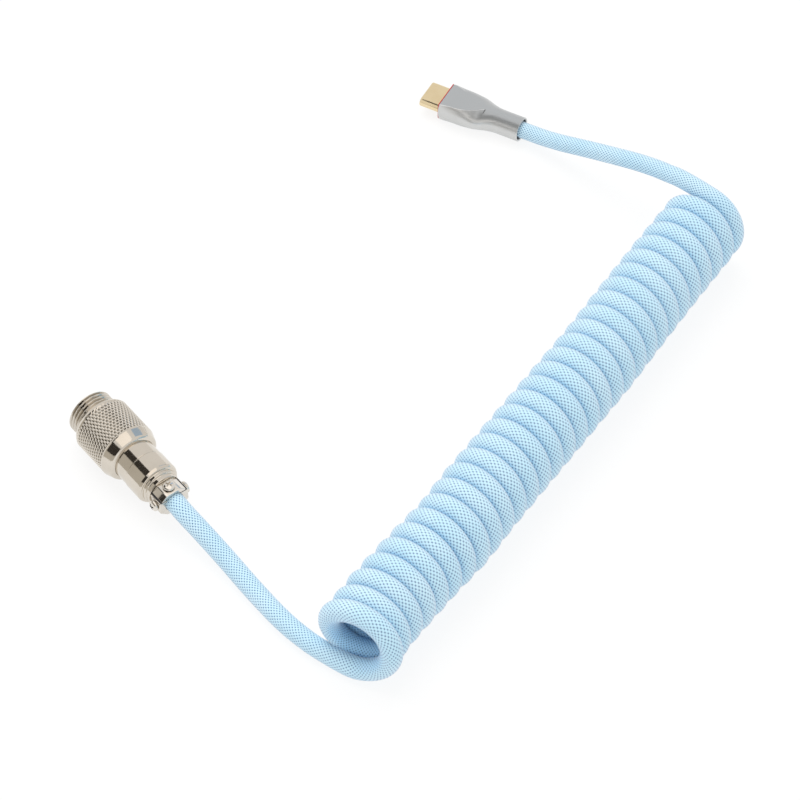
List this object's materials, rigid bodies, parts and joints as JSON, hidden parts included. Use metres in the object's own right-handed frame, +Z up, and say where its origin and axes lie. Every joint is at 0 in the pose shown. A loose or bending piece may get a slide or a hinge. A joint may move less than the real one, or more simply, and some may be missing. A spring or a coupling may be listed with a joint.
{
  "type": "coiled keyboard cable",
  "caption": "Coiled braided keyboard cable with a knurled round screw connector at one end and a flat reversible plug in a metal housing at the other.",
  "frame": {"origin": "on the table, under the middle of the coil", "axes": "+Y along the coil's axis from the round connector's end to the flat plug's end, +Z up; both connectors point towards -X"},
  "size_m": [0.1069, 0.1714, 0.0214],
  "materials": {
    "nickel_plate": "bright nickel plating, slightly warm",
    "spring_steel": "plain spring steel",
    "contact_gold": "gold-plated contacts",
    "shell_gold": "pale satin gold plating",
    "black_plastic": "moulded insulator, matt black",
    "cable_jacket": "soft dark jacket and heat-shrink",
    "wire_insulation": "coloured wire insulation, a different colour on each wire",
    "circuit_board": "green solder mask",
    "red_plastic": "smooth red plastic",
    "satin_zinc": "bead-blasted satin grey",
    "cord_braid": "sky-blue open diamond braid over a lighter sleeve"
  },
  "bodies": {
    "cable": {"retaining_ring": "spring_steel", "connector_body": "nickel_plate", "contact_insert": "black_plastic", "contact_pin_1": "contact_gold", "contact_pin_2": "contact_gold", "contact_pin_3": "contact_gold", "contact_pin_4": "contact_gold", "contact_pin_5": "contact_gold", "pin_wire_1": "wire_insulation", "pin_wire_2": "wire_insulation", "pin_wire_3": "wire_insulation", "pin_wire_4": "wire_insulation", "pin_wire_5": "wire_insulation", "tail_shell": "nickel_plate", "clamp_jaw_upper": "nickel_plate", "clamp_jaw_lower": "nickel_plate", "clamp_screw_top": "nickel_plate", "clamp_screw_left": "nickel_plate", "clamp_screw_right": "nickel_plate", "strain_sleeve": "cable_jacket", "connector_cable_core": "cable_jacket", "lead_to_connector": "cord_braid", "cord_coil": "cord_braid", "lead_to_plug": "cord_braid", "plug_shell": "shell_gold", "plug_collar": "red_plastic", "plug_housing": "satin_zinc", "contact_carrier": "black_plastic", "contact_comb_upper": "contact_gold", "contact_comb_lower": "contact_gold", "latch_spring_left": "spring_steel", "latch_spring_right": "spring_steel", "circuit_card": "circuit_board", "card_wire_1": "wire_insulation", "card_wire_2": "wire_insulation", "card_wire_3": "wire_insulation", "card_wire_4": "wire_insulation", "plug_crimp": "nickel_plate", "plug_cable_core": "cable_jacket"},
    "sleeve": {"coupling_sleeve": "nickel_plate"}
  },
  "joints": [
    {"name": "sleeve_spin", "type": "hinge", "parent": "cable", "child": "sleeve", "pos_m": [-0.09296, -0.05535, 0.0076], "axis": [0.9491, -0.315, 0], "continuous": true}
  ]
}
